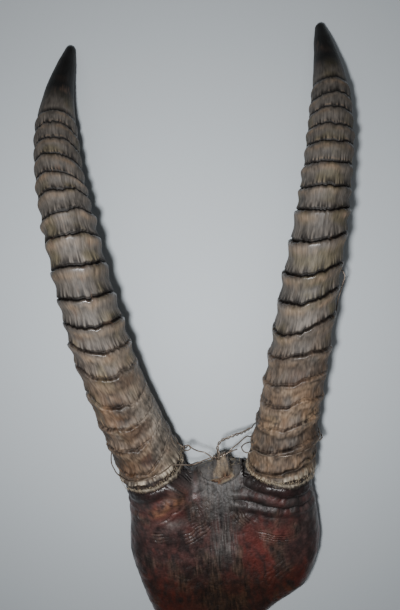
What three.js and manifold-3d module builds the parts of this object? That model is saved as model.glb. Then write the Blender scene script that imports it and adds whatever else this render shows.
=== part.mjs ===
// A pair of ringed antelope horns on the skull plate that carries them, lying on its sawn back.
// The plate still wears its dried forehead skin, and thin iron wire is tied round both horn bases.
//
// Millimetres. The origin is the middle of the plate's flat back. +X runs from the left horn to the
// right horn as seen from the front, +Y from the skull to the horn tips, +Z out of the forehead.

import * as THREE from 'three';
import { mergeVertices } from 'three/addons/utils/BufferGeometryUtils.js';
import Module from 'manifold-3d';

const wasm = await Module();
wasm.setup();

// Driving dimensions

const SEAM = 0.35; // air between two pieces that touch
const TIP_RADIUS = 4.2;
const HORN_DEPTH = 1.04; // front-to-back depth of a horn over its width
// Mean radius of both horns, as [distance from the tip, radius].
const TAPER = [[0, 4.2], [22, 9], [45, 12.6], [65, 15.6], [95, 19.4], [130, 21.4], [190, 23.2], [265, 25.4],
  [345, 28.2], [410, 30], [450, 32.5], [485, 34.5]];

const HORNS = {
  left: {
    outward: -1,
    middle: [[-67, 70, 41], [-81, 119, 52], [-99, 186, 65], [-111, 254, 75], [-121, 323, 73],
      [-130, 390, 57], [-129, 456, 33], [-114, 520, 5]],
    // Dark line over each ring, measured along the horn from its base.
    rings: [385, 370, 353, 338, 321, 305, 284, 263, 235, 205, 179, 155, 130, 100, 72, 50, 25, 9],
    // Lean of the rings as [distance along the horn, rise of the outer side, rise of the front].
    lean: [[0, 0, 0], [25, -0.1, -0.35], [60, -0.05, -0.3], [130, 0.25, -0.2], [180, 0.25, -0.05],
      [235, 0.08, 0.1], [285, 0, 0.2], [330, 0.2, 0.3], [370, 0.02, 0.3], [400, 0, 0.2]],
  },
  right: {
    outward: 1,
    middle: [[64, 59, 41], [73, 109, 48], [88, 177, 58], [102, 245, 66], [118, 313, 67],
      [134, 386, 56], [143, 452, 35], [143, 520, 5]],
    rings: [407, 390, 375, 359, 343, 323, 302, 280, 253, 223, 198, 173, 143, 117, 94, 71, 46, 23, 9],
    lean: [[0, 0, 0], [25, 0.34, -0.1], [100, 0.36, 0.05], [150, 0.34, 0], [200, 0.42, -0.12],
      [255, 0.3, -0.12], [300, 0.12, 0], [350, 0.05, 0], [410, 0.03, 0.1]],
  },
};
const RING_HEIGHT = 3; // how far a ring stands out at mid-horn
const RIM_HEIGHT = 1.6; // the flared rim at a horn's base

// Half widths of the plate to the left and the right, as [y, left, right].
const PLATE_SIDES = [[-124, 74, 12], [-112, 79, 31], [-101, 82, 45], [-91, 84.5, 60], [-83, 87, 74],
  [-74, 89, 84], [-54, 93.5, 92], [-36, 97, 98], [-18, 99, 100], [8, 97, 99], [30, 95, 95], [48, 88, 82],
  [70, 58, 50]];
// Height of the forehead over the sawn back, as [y, height].
const PLATE_CROWN = [[-124, 34], [-60, 46], [0, 53], [60, 52]];
const PLATE_BOTTOM = -124;
const PLATE_TOP = 56;
const PEDICEL_RADIUS = 31.5; // the bone stem under each horn
const PEDICEL_LENGTH = 62;
const PEDICEL_NARROWING = 3;
const PEDICEL_START = 12; // beyond the horn's base plane
// The crest between the horns, whose far face leans back towards the plate.
const CREST = { x: 2, y: 17, halfWidth: 30, halfLength: 43, height: 50, lean: 0.42 };
const KNOB = { x: 5, y: 76, z: 44, radius: 9 };
const HOLLOW = { x: 2, y: 32, z: -1, halfWidth: 25, halfLength: 23, depth: 19 }; // where the brain lay
const SKIN = 2.2; // thickness of the dried skin
const SKIN_FOOT = 2.5; // the skin stops this far above the sawn back
const BARE_BONE = [[2, 50], [60, 106], [-56, 106]]; // the V between the horns that has no skin

const WIRE_RADIUS = 0.65;

// Mesh fineness

const HORN_SIDES = 16;
const RING_ROWS = [0, 0.2, 0.52, 0.78]; // mesh rows within one ring's pitch
const TIP_ROWS = 6;
const SKULL_DETAIL = 6; // the bone, the skin and its lining share one pattern of rays, so they nest
const ROOM_SIDES = 28;
const WIRE_SIDES = 4;

// Small helpers

const clamp01 = (x) => Math.min(1, Math.max(0, x));

const smooth = (a, b, x) => {
  const t = clamp01((x - a) / (b - a));
  return t * t * (3 - 2 * t);
};

// Reads column `column` of a table of rows whose first entries rise.
function lookUp(table, x, column = 1) {
  const last = table[table.length - 1];
  if (x <= table[0][0]) return table[0][column];
  if (x >= last[0]) return last[column];
  const i = table.findIndex((row) => row[0] > x);
  const [low, high] = [table[i - 1], table[i]];
  const t = (x - low[0]) / (high[0] - low[0]);
  return low[column] + (high[column] - low[column]) * t;
}

function makeMesh(name, geometry, color, roughness, metalness) {
  const material = new THREE.MeshStandardMaterial({ color, roughness, metalness, flatShading: true });
  const mesh = new THREE.Mesh(geometry, material);
  mesh.name = name;
  return mesh;
}

function toSolid(geometry) {
  const bare = geometry.clone();
  bare.deleteAttribute('normal');
  bare.deleteAttribute('uv');
  const merged = mergeVertices(bare, 1e-4);
  return new wasm.Manifold(new wasm.Mesh({
    numProp: 3,
    vertProperties: new Float32Array(merged.attributes.position.array),
    triVerts: new Uint32Array(merged.index.array),
  }));
}

function fromSolid(solid) {
  const mesh = solid.getMesh();
  const geometry = new THREE.BufferGeometry();
  geometry.setAttribute('position', new THREE.BufferAttribute(new Float32Array(mesh.vertProperties), 3));
  geometry.setIndex(new THREE.BufferAttribute(new Uint32Array(mesh.triVerts), 1));
  return geometry;
}

// Horns

// How far out the horn stands within one ring's pitch: u is 0 at the dark line over the ring and 1 at
// the next line towards the base. A round crest, a waist, then a flare that ends in the next groove.
function ringShape(u) {
  const crest = Math.exp(-(((u - 0.22) / 0.17) ** 2));
  const flare = 0.5 * smooth(0.5, 0.95, u);
  const groove = 0.3 * Math.exp(-((u / 0.06) ** 2)) + 0.3 * Math.exp(-(((1 - u) / 0.06) ** 2));
  return crest + flare - groove;
}

class Horn {
  constructor({ outward, middle, rings, lean }) {
    this.outward = outward;
    const knots = middle.map((p) => new THREE.Vector3(...p));
    this.curve = new THREE.CatmullRomCurve3(knots, false, 'catmullrom', 0.5);
    this.length = this.curve.getLength();
    this.rings = rings;
    this.lean = lean;
    this.settle();
  }

  // Raises or lowers the horn so that its tip rests on the table.
  settle() {
    const geometry = this.geometry();
    geometry.computeBoundingBox();
    for (const p of this.curve.points) p.z -= geometry.boundingBox.min.z;
    this.curve.updateArcLengths();
  }

  // Middle of the horn at distance s from its base, with the directions to its side and its front.
  frame(s) {
    const t = clamp01(s / this.length);
    const centre = this.curve.getPointAt(t);
    const along = this.curve.getTangentAt(t);
    const side = new THREE.Vector3(1, 0, 0).addScaledVector(along, -along.x).normalize();
    const front = new THREE.Vector3().crossVectors(side, along);
    return { centre, along, side, front };
  }

  taper(s) {
    return lookUp(TAPER, this.length - s);
  }

  // Rings are lower on the thin upper horn, and worn on its lowest third.
  ringHeight(s) {
    const thin = 1 - 0.55 * smooth(270, 400, s);
    const worn = 1 - 0.35 * smooth(150, 60, s);
    return RING_HEIGHT * thin * worn;
  }

  // Radius at ring station q, which is a distance along the horn as if no ring leaned.
  radius(q) {
    const { rings } = this;
    const base = this.taper(q);
    if (q > rings[0]) return base + 0.25 * this.ringHeight(q) * smooth(rings[0] + 30, rings[0], q);
    const i = rings.findIndex((line) => line <= q);
    if (i < 0) return base + RIM_HEIGHT * Math.exp(-(((q - 4) / 4) ** 2));
    if (rings[i] === q) return base + this.ringHeight(q) * ringShape(0);
    const u = (rings[i - 1] - q) / (rings[i - 1] - rings[i]);
    return base + this.ringHeight(q) * ringShape(u);
  }

  // A point on the horn at ring station q and angle a from +X, pushed out by `lift`.
  point(q, a, lift = 0, radius = this.radius(q)) {
    const hold = smooth(0, 16, q) * smooth(this.rings[0] + 40, this.rings[0], q);
    const rise = this.outward * Math.cos(a) * lookUp(this.lean, q, 1);
    const tipping = (Math.sin(a) - 0.7) * lookUp(this.lean, q, 2);
    const { centre, side, front } = this.frame(q + hold * this.taper(q) * (rise + tipping));
    return centre
      .addScaledVector(side, (radius + lift) * Math.cos(a))
      .addScaledVector(front, (radius + lift) * HORN_DEPTH * Math.sin(a));
  }

  // Stations of the mesh rows: the rim, four rows to each ring, and the smooth tip.
  stations() {
    const list = [0, 4];
    const lines = [...this.rings].reverse();
    for (let i = 0; i < lines.length - 1; i += 1) {
      const pitch = lines[i + 1] - lines[i];
      for (const part of RING_ROWS) list.push(lines[i] + part * pitch);
    }
    const top = this.rings[0];
    const end = this.length - 0.8 * TIP_RADIUS;
    for (let i = 0; i <= TIP_ROWS; i += 1) list.push(top + ((end - top) * i) / TIP_ROWS);
    return list;
  }

  geometry() {
    const positions = [];
    const indices = [];
    const stations = this.stations();
    for (const q of stations) {
      for (let k = 0; k < HORN_SIDES; k += 1) {
        positions.push(...this.point(q, (2 * Math.PI * k) / HORN_SIDES).toArray());
      }
    }
    const rows = stations.length;
    const foot = rows * HORN_SIDES;
    positions.push(...this.frame(0).centre.toArray(), ...this.frame(this.length).centre.toArray());
    for (let k = 0; k < HORN_SIDES; k += 1) {
      const next = (k + 1) % HORN_SIDES;
      for (let row = 0; row < rows - 1; row += 1) {
        const [a, b] = [row * HORN_SIDES + k, row * HORN_SIDES + next];
        indices.push(a, a + HORN_SIDES, b, b, a + HORN_SIDES, b + HORN_SIDES);
      }
      indices.push(foot, k, next);
      const last = (rows - 1) * HORN_SIDES;
      indices.push(foot + 1, last + next, last + k);
    }
    const geometry = new THREE.BufferGeometry();
    geometry.setAttribute('position', new THREE.Float32BufferAttribute(positions, 3));
    geometry.setIndex(indices);
    return geometry;
  }
}

// Skull plate: a form that is negative inside, met by rays from one inner point.

const BONE_CORE = new THREE.Vector3(0, 5, 20);
const FARTHEST_BONE = 170; // no point of the skull is farther than this from the core

// The union of two forms, with a round inner corner that reaches `reach` to each side.
const blend = (a, b, reach) => {
  const h = Math.max(reach - Math.abs(a - b), 0) / reach;
  return Math.min(a, b) - h * h * reach * 0.25;
};

function plateForm(p) {
  const width = lookUp(PLATE_SIDES, p.y, p.x < 0 ? 1 : 2);
  const middle = (PLATE_TOP + PLATE_BOTTOM) / 2;
  const half = (PLATE_TOP - PLATE_BOTTOM) / 2;
  const across = Math.abs(p.x) / width;
  const down = Math.abs(p.y - middle) / half;
  const up = Math.abs(p.z) / lookUp(PLATE_CROWN, p.y);
  return ((across ** 5 + down ** 10 + up ** 4) ** 0.25 - 1) * 40;
}

// A round stem that starts inside the horn's base and runs down and inwards into the plate.
function pedicelForm(p, horn) {
  const { centre, along } = horn.frame(0);
  const from = centre.clone().addScaledVector(along, PEDICEL_START);
  const inward = new THREE.Vector3(-0.22 * horn.outward, -0.93, -0.3).normalize();
  const offset = p.clone().sub(from);
  const t = THREE.MathUtils.clamp(offset.dot(inward), 0, PEDICEL_LENGTH);
  const radius = PEDICEL_RADIUS - PEDICEL_NARROWING * (t / PEDICEL_LENGTH);
  return offset.addScaledVector(inward, -t).length() - radius;
}

// The bone between the horns, with the knob of torn fibres on its top edge.
function crestForm(p) {
  const across = Math.abs(p.x - CREST.x) / CREST.halfWidth;
  const down = Math.abs(p.y - CREST.y - CREST.lean * p.z) / CREST.halfLength;
  const up = Math.abs(p.z) / CREST.height;
  const crest = ((across ** 4 + down ** 5 + up ** 4) ** 0.25 - 1) * CREST.halfWidth;
  const knob = p.distanceTo(new THREE.Vector3(KNOB.x, KNOB.y, KNOB.z)) - KNOB.radius;
  return blend(crest, knob, 5);
}

function skullForm(p, horns) {
  let form = blend(plateForm(p), crestForm(p), 10);
  for (const horn of horns) form = blend(form, pedicelForm(p, horn), 14);
  return form;
}

function rayMesh(form) {
  const geometry = new THREE.IcosahedronGeometry(1, SKULL_DETAIL);
  const place = geometry.attributes.position;
  const direction = new THREE.Vector3();
  const probe = new THREE.Vector3();
  for (let i = 0; i < place.count; i += 1) {
    direction.fromBufferAttribute(place, i).normalize();
    let [inside, outside] = [1, FARTHEST_BONE];
    for (let step = 0; step < 24; step += 1) {
      const reach = (inside + outside) / 2;
      probe.copy(BONE_CORE).addScaledVector(direction, reach);
      if (form(probe) < 0) inside = reach;
      else outside = reach;
    }
    place.setXYZ(i, ...probe.toArray());
  }
  return geometry;
}

// Everything below a height.
function roomBelow(height) {
  const size = 3 * FARTHEST_BONE;
  return toSolid(new THREE.BoxGeometry(size, size, size).translate(0, 0, height - size / 2));
}

// The room that a horn takes, from just before its base outwards.
function hornRoom(horn, radius) {
  const length = 90;
  const { centre, along } = horn.frame(0);
  const room = new THREE.CylinderGeometry(radius, radius, length, ROOM_SIDES);
  room.translate(0, length / 2 - SEAM, 0);
  room.applyQuaternion(new THREE.Quaternion().setFromUnitVectors(new THREE.Vector3(0, 1, 0), along));
  room.translate(centre.x, centre.y, centre.z);
  return toSolid(room);
}

function brainHollow() {
  const hollow = new THREE.SphereGeometry(1, 20, 12);
  hollow.scale(HOLLOW.halfWidth, HOLLOW.halfLength, HOLLOW.depth);
  hollow.rotateX(0.05);
  return toSolid(hollow.translate(HOLLOW.x, HOLLOW.y, HOLLOW.z));
}

function skullPlate(horns) {
  let bone = toSolid(rayMesh((p) => skullForm(p, horns)));
  bone = bone.subtract(roomBelow(0));
  for (const horn of horns) bone = bone.subtract(hornRoom(horn, PEDICEL_RADIUS + 6.5));
  return bone.subtract(brainHollow());
}

function bareBoneRoom() {
  const outline = new THREE.Shape(BARE_BONE.map((p) => new THREE.Vector2(...p)));
  return toSolid(new THREE.ExtrudeGeometry(outline, { depth: 120, bevelEnabled: false }));
}

function foreheadSkin(horns) {
  let skin = toSolid(rayMesh((p) => skullForm(p, horns) - SKIN - SEAM));
  skin = skin.subtract(toSolid(rayMesh((p) => skullForm(p, horns) - SEAM)));
  skin = skin.subtract(roomBelow(SKIN_FOOT));
  for (const horn of horns) skin = skin.subtract(hornRoom(horn, PEDICEL_RADIUS + 8.5));
  return skin.subtract(bareBoneRoom());
}

// Wires. All three meet at a knot over the top edge of the skull. Each route is a list of points in
// millimetres, and the turns round a horn follow the horn's own surface.

const point = (x, y, z) => new THREE.Vector3(x, y, z);

const WIRE_LIFT = WIRE_RADIUS + 0.7; // from a horn's surface to the middle of the wire
const COIL_RADIUS = 2 * WIRE_RADIUS + 1.2;
const TWISTS = 5; // turns of the hanging strand on itself
const TWIST_RADIUS = WIRE_RADIUS + 0.25;

// The strand that crosses the gap between the horns; the other ends are wound on it.
const CROSSING = new THREE.CatmullRomCurve3([
  point(-26, 84, 62), point(-17, 86, 60), point(-8, 88, 58), point(2, 88, 57), point(13, 92, 56),
  point(21, 93.5, 54)]);

// Points round a horn at ring station q, from one angle to another in degrees, each lifted by `bow`.
function turnRound(horn, q, from, to, count, bow = () => 0) {
  const points = [];
  for (let i = 0; i <= count; i += 1) {
    const degrees = from + ((to - from) * i) / count;
    points.push(horn.point(q, THREE.MathUtils.degToRad(degrees), WIRE_LIFT + bow(degrees)));
  }
  return points;
}

// Turns wound on the crossing strand between two shares of its length.
function coilOnCrossing(from, to, turns, startAngle) {
  const points = [];
  const count = Math.round(turns * 8);
  for (let i = 0; i <= count; i += 1) {
    const t = from + ((to - from) * i) / count;
    const along = CROSSING.getTangentAt(t);
    const side = new THREE.Vector3(0, 0, 1).addScaledVector(along, -along.z).normalize();
    const across = new THREE.Vector3().crossVectors(along, side);
    const angle = startAngle + (2 * Math.PI * turns * i) / count;
    points.push(CROSSING.getPointAt(t)
      .addScaledVector(side, COIL_RADIUS * Math.sin(angle))
      .addScaledVector(across, COIL_RADIUS * Math.cos(angle)));
  }
  return points;
}

function wireGeometry(points, steps) {
  const section = new THREE.Shape();
  for (let i = 0; i < WIRE_SIDES; i += 1) {
    const angle = (2 * Math.PI * i) / WIRE_SIDES;
    const [x, y] = [WIRE_RADIUS * Math.cos(angle), WIRE_RADIUS * Math.sin(angle)];
    if (i === 0) section.moveTo(x, y);
    else section.lineTo(x, y);
  }
  section.closePath();
  const extrudePath = new THREE.CatmullRomCurve3(points, false, 'centripetal');
  return fromSolid(toSolid(new THREE.ExtrudeGeometry(section, { steps, extrudePath, bevelEnabled: false })));
}

// From a small pigtail loop, under the left horn, over its front, and on across the gap.
function leftTie(horn) {
  const pigtail = [point(-13, 94, 57), point(-19, 96, 57), point(-25, 100, 58.5), point(-29, 104, 59),
    point(-33, 103, 58.5), point(-34, 99.5, 57), point(-31, 97, 55), point(-27.5, 98, 53.5),
    point(-29, 101, 51.5), point(-33, 97, 47)];
  const stray = (degrees) => 4 * Math.exp(-(((degrees + 160) / 20) ** 2));
  return [
    ...coilOnCrossing(0.52, 0.42, 1.25, 0.5),
    ...pigtail,
    ...turnRound(horn, 15, -8, -318, 22, stray),
    ...CROSSING.getPoints(10),
  ];
}

// From the knot, under the right horn, over its front, hooked back and round once more to a stray end.
function rightTie(horn) {
  const stray = (degrees) => 5 * Math.exp(-(((degrees - 722) / 16) ** 2));
  return [
    ...coilOnCrossing(0.66, 0.74, 1.5, 2),
    point(16, 95, 54), point(24, 98.5, 48), point(32, 102, 42),
    ...turnRound(horn, 41, 200, 515, 22),
    point(33, 92, 63), point(27.5, 92.5, 60), point(25.5, 95.5, 56), point(29, 97, 50), point(34, 96.5, 45),
    ...turnRound(horn, 35, 560, 738, 14, stray),
  ];
}

// A doubled strand, twisted on itself, hooked round the knot; one end runs on under the right horn
// and shows again beyond the horn's outer side.
function hanger() {
  const core = new THREE.CatmullRomCurve3([point(2, 91.5, 60.5), point(0.5, 97, 61.5), point(2, 103, 61),
    point(6, 106.5, 60), point(13, 108, 58), point(20, 109, 54.5), point(28, 109, 49), point(37, 110, 40)]);
  const twist = (share, half) => {
    const along = core.getTangentAt(share);
    const side = new THREE.Vector3(0, 0, 1).addScaledVector(along, -along.z).normalize();
    const across = new THREE.Vector3().crossVectors(along, side);
    const angle = half + 2 * Math.PI * TWISTS * share;
    return core.getPointAt(share)
      .addScaledVector(side, TWIST_RADIUS * Math.cos(angle))
      .addScaledVector(across, TWIST_RADIUS * Math.sin(angle));
  };
  const shares = Array.from({ length: 25 }, (_, i) => i / 24);
  const hook = [point(0.6, 87.2, 59.6), point(1.2, 85.4, 57.5), point(2.2, 86.2, 54.9),
    point(3.4, 88.6, 54.4), point(3.9, 90.6, 56.6)];
  const tail = [point(42.5, 110, 27), point(51, 110, 17), point(63, 112, 10.5), point(84, 120, 9),
    point(108, 150, 16), point(122, 190, 30), point(131, 214, 40), point(133, 226, 46),
    point(135, 238, 48), point(137.5, 246, 49), point(141, 256, 50), point(143, 263, 50),
    point(139, 272, 47), point(131, 281, 38)];
  return [
    ...shares.map((share) => twist(share, Math.PI)).reverse(),
    ...hook,
    ...shares.map((share) => twist(share, 0)),
    ...tail,
  ];
}

// Assembly

const HORN_COLOR = 0x6d6156;
const BONE_COLOR = 0x9a8f7c;
const SKIN_COLOR = 0x3a1c19;
const WIRE_COLOR = 0x34302c;

const left = new Horn(HORNS.left);
const right = new Horn(HORNS.right);
const hornPair = new THREE.Group();

hornPair.add(makeMesh('horn_left', left.geometry(), HORN_COLOR, 0.6, 0));
hornPair.add(makeMesh('horn_right', right.geometry(), HORN_COLOR, 0.6, 0));
hornPair.add(makeMesh('skull_plate', fromSolid(skullPlate([left, right])), BONE_COLOR, 0.8, 0));
hornPair.add(makeMesh('forehead_skin', fromSolid(foreheadSkin([left, right])), SKIN_COLOR, 0.45, 0));
hornPair.add(makeMesh('tie_wire_left', wireGeometry(leftTie(left), 76), WIRE_COLOR, 0.4, 0.9));
hornPair.add(makeMesh('tie_wire_right', wireGeometry(rightTie(right), 92), WIRE_COLOR, 0.4, 0.9));
hornPair.add(makeMesh('hanging_wire', wireGeometry(hanger(), 100), WIRE_COLOR, 0.4, 0.9));

export default hornPair;
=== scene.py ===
"""Looks of a pair of ringed antelope horns on their skull plate, lying on the plate's sawn back.

Shapes are worked out in millimetres in the CAD frame and turned into metres as meshes are made:
+X from the left horn to the right, +Y from the skull to the tips, +Z out of the forehead.
"""
import math
from functools import cache
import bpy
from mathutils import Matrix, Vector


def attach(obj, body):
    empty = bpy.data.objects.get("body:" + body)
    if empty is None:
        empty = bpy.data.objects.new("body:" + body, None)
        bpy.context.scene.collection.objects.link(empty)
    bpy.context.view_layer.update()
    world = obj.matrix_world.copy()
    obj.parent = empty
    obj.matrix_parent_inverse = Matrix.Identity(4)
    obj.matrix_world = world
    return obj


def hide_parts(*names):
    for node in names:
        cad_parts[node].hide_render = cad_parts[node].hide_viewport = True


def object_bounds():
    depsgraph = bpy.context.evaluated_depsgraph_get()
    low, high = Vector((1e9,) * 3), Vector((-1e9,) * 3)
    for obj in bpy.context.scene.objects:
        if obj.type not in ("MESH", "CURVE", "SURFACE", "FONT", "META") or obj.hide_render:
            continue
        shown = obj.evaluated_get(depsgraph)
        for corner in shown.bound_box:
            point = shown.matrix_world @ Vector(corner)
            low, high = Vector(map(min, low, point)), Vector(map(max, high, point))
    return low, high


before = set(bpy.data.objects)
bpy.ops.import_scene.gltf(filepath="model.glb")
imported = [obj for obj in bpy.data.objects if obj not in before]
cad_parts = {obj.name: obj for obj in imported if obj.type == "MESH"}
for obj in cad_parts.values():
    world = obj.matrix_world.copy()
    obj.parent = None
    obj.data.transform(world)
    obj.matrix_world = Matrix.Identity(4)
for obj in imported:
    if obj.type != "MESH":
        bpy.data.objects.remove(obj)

from types import SimpleNamespace

import bpy
import numpy as np
from mathutils import Matrix, Vector
from numpy.linalg import norm

CAD_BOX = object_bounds()
MM = 0.001

# Driving dimensions, as in the part's source

SEAM = 0.35
TIP_RADIUS = 4.2
HORN_DEPTH = 1.04
TAPER = [(0, 4.2), (22, 9), (45, 12.6), (65, 15.6), (95, 19.4), (130, 21.4), (190, 23.2), (265, 25.4),
         (345, 28.2), (410, 30), (450, 32.5), (485, 34.5)]
RING_HEIGHT = 3.0
RIM_HEIGHT = 1.6
SKIN = 2.2
SKIN_FOOT = 2.5
WIRE_RADIUS = 0.65

# Bends are how far each ring's line lies above its even place, at BEND_ANGLES round the horn's front.
# Bald is how far the lowest rings are worn off on the side that faces the other horn.
# Stains are (distance from the base, angle in degrees, length, width in degrees, colour, strength).
HORNS = {
    "left": dict(
        outward=-1,
        middle=[(-67, 70, 41), (-81, 119, 52), (-99, 186, 65), (-111, 254, 75), (-121, 323, 73),
                (-130, 390, 57), (-129, 456, 33), (-114, 520, 5)],
        rings=[385, 370, 353, 338, 321, 305, 284, 263, 235, 205, 179, 155, 130, 100, 72, 50, 25, 9],
        lean=[(0, 0, 0), (25, -0.1, -0.35), (60, -0.05, -0.3), (130, 0.25, -0.2), (180, 0.25, -0.05),
              (235, 0.08, 0.1), (285, 0, 0.2), (330, 0.2, 0.3), (370, 0.02, 0.3), (400, 0, 0.2)],
        bald=0.95,
        bends=[(1, 1, 1, -1, -1), (-1, 1, 1, 1, 0), (0, 2, 2, 2, 0), (0, 0, 0, 1, -1), (-4, -2, 0, 1, 0),
               (-2, 1, -2, 0, -1), (-1, 1, -1, 0, 0), (0, 1, 0, 0, 1), (4, 2, 1, 2, 2), (5, 4, 2, 2, 3),
               (7, 6, 3, 3, 4), (4, 5, 4, 6, 7), (5, 8, 3, 4, 8), (-2, -1, 1, 3, 12), (6, 5, 5, 8, 7),
               (7, 6, 4, 7, 8), (10, 8, 2, 4, 6), (2, 2, 4, 8, 6)],
        stains=[(12, 85, 5, 22, (30, 24, 22), 0.9), (38, 75, 7, 14, (52, 31, 25), 0.7),
                (60, 20, 26, 26, (112, 106, 98), 0.6), (30, 120, 12, 22, (108, 79, 56), 0.35),
                (90, 110, 16, 24, (112, 83, 60), 0.35), (70, 75, 8, 40, (54, 41, 33), 0.7),
                (125, 60, 10, 25, (58, 45, 36), 0.6)],
    ),
    "right": dict(
        outward=1,
        middle=[(64, 59, 41), (73, 109, 48), (88, 177, 58), (102, 245, 66), (118, 313, 67),
                (134, 386, 56), (143, 452, 35), (143, 520, 5)],
        rings=[407, 390, 375, 359, 343, 323, 302, 280, 253, 223, 198, 173, 143, 117, 94, 71, 46, 23, 9],
        lean=[(0, 0, 0), (25, 0.34, -0.1), (100, 0.36, 0.05), (150, 0.34, 0), (200, 0.42, -0.12),
              (255, 0.3, -0.12), (300, 0.12, 0), (350, 0.05, 0), (410, 0.03, 0.1)],
        bald=0.1,
        bends=[(-4, -4, -3, -2, -2), (-3, -3, -2, -3, -4), (-4, -4, -3, -2, -3), (-4, -4, -4, -2, -2),
               (-3, -3, -4, -3, -3), (-2, -2, -3, -2, -2), (-3, -3, -4, -3, -3), (-2, -2, -3, -2, -1),
               (0, -1, -2, -2, -1), (1, 1, -1, -2, -1), (1, 1, -1, -3, -1), (1, 1, -1, -6, -7),
               (-2, -1, 2, 2, -2), (-3, -1, 2, -3, -4), (-4, -2, 2, -3, -4), (-2, 2, 1, -4, -5),
               (-2, 1, 1, -2, -3), (2, 2, 0, -4, -4), (3, 3, 2, -2, -4)],
        stains=[(50, 55, 10, 20, (100, 82, 66), 0.3), (20, 90, 3, 60, (38, 31, 27), 0.6),
                (120, 100, 12, 18, (66, 50, 41), 0.5), (95, 60, 12, 22, (108, 86, 66), 0.25)],
    ),
}

BEND_ANGLES = [-60, 25, 50, 80, 110, 140, 225]

# How far from a horn's base the wires go round it, and how far they stand off its plain surface.
WIRED_AT = {"left": [15], "right": [41, 35]}
WIRE_LIFT = WIRE_RADIUS + 0.7

# Mesh fineness

HORN_SIDES = 312
RING_PHASES = [0, 0.02, 0.04, 0.06, 0.085, 0.12, 0.17, 0.24, 0.33, 0.44, 0.56, 0.68, 0.8, 0.9, 0.965]
TIP_ROWS = 30
RIM_ROWS = [1, 0.96, 0.9, 0.8, 0.7, 0.6, 0.5, 0.4, 0.3, 0.15, 0]
SKULL_SIDES = 480
SKULL_ROWS = 180
BACK_ROWS = 36
HOLLOW_ROWS = 16
FIBRE_SIDES = 3
FIBRE_ROWS = 4


# Numbers and noise

def ramp(a, b, x):
    t = np.clip((x - a) / (b - a), 0, 1)
    return t * t * (3 - 2 * t)


def look_up(table, x, column=1):
    rows = np.array(table, float)
    return np.interp(x, rows[:, 0], rows[:, column])


def hump(x, middle, width):
    return np.exp(-(((x - middle) / width) ** 2))


def hashed(x, y, z, seed):
    n = (x * 73856093) ^ (y * 19349663) ^ (z * 83492791) ^ (seed * 2654435761)
    n = (n ^ (n >> 13)) * 1274126177
    return ((n ^ (n >> 16)) & 0xFFFF) / 0xFFFF


def noise(points, seed=0):
    """Smooth noise from -1 to 1 that changes over a distance of 1."""
    cell = np.floor(points).astype(np.int64)
    t = points - cell
    t = t * t * (3 - 2 * t)
    total = 0
    for corner in np.ndindex(2, 2, 2):
        weight = np.prod(np.where(corner, t, 1 - t), axis=-1)
        x, y, z = (cell[..., k] + corner[k] for k in range(3))
        total = total + weight * hashed(x, y, z, seed)
    return 2 * total - 1


def cloud(points, seed=0, octaves=3):
    """Noise of several sizes, each half the last."""
    return sum(noise(points * 2 ** k, seed + k) / 2 ** k for k in range(octaves)) / 1.75


def rgb(red, green, blue):
    """A colour given as 0 to 255 on screen, as the linear numbers that shaders use."""
    screen = np.array([red, green, blue]) / 255
    return np.where(screen < 0.04045, screen / 12.92, ((screen + 0.055) / 1.055) ** 2.4)


def mix(first, second, share):
    return first + (second - first) * np.clip(share, 0, 1)[..., None]


class Paint:
    """A colour for each point, built up layer by layer."""

    def __init__(self, colour):
        self.colour = colour

    def __call__(self, tint, share):
        self.colour = mix(self.colour, tint, share)

    def scale(self, factor, share):
        self(self.colour * factor, share)


def segment_distance(x, y, start, end):
    """Distance in the XY plane from points to a straight line between two others."""
    (ax, ay), (bx, by) = start, end
    dx, dy = bx - ax, by - ay
    t = np.clip(((x - ax) * dx + (y - ay) * dy) / (dx * dx + dy * dy), 0, 1)
    return np.hypot(x - ax - t * dx, y - ay - t * dy)


def spline(points, steps=24, uniform=False):
    """A Catmull-Rom curve through points, as a dense row of points."""
    knots = np.array(points, float)
    knots = np.vstack([2 * knots[0] - knots[1], knots, 2 * knots[-1] - knots[-2]])
    t = np.linspace(0, 1, steps, endpoint=False)[:, None]
    pieces = []
    for a, b, c, d in zip(knots, knots[1:], knots[2:], knots[3:]):
        spans = (norm(b - a), norm(c - b), norm(d - c))
        g0, g1, g2 = (1, 1, 1) if uniform else np.sqrt(spans)
        start = ((b - a) / g0 - (c - a) / (g0 + g1) + (c - b) / g1) * g1
        end = ((c - b) / g1 - (d - b) / (g1 + g2) + (d - c) / g2) * g1
        pieces.append((2 * t ** 3 - 3 * t ** 2 + 1) * b + (t ** 3 - 2 * t ** 2 + t) * start
                      + (3 * t ** 2 - 2 * t ** 3) * c + (t ** 3 - t ** 2) * end)
    return np.vstack(pieces + [knots[-2]])


class Path:
    """A dense row of points that is read by the distance along it."""

    def __init__(self, points):
        self.points = points
        steps = norm(np.diff(points, axis=0), axis=1)
        self.distance = np.concatenate([[0], np.cumsum(steps)])
        self.length = self.distance[-1]
        self.along = np.gradient(points, self.distance, axis=0)

    def at(self, s):
        return np.stack([np.interp(s, self.distance, self.points[:, k]) for k in range(3)], -1)

    def direction(self, s):
        along = np.stack([np.interp(s, self.distance, self.along[:, k]) for k in range(3)], -1)
        return along / norm(along, axis=-1, keepdims=True)


# Meshes

def add_object(name, data):
    made = bpy.data.objects.new(name, data)
    bpy.context.collection.objects.link(made)
    return made


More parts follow.
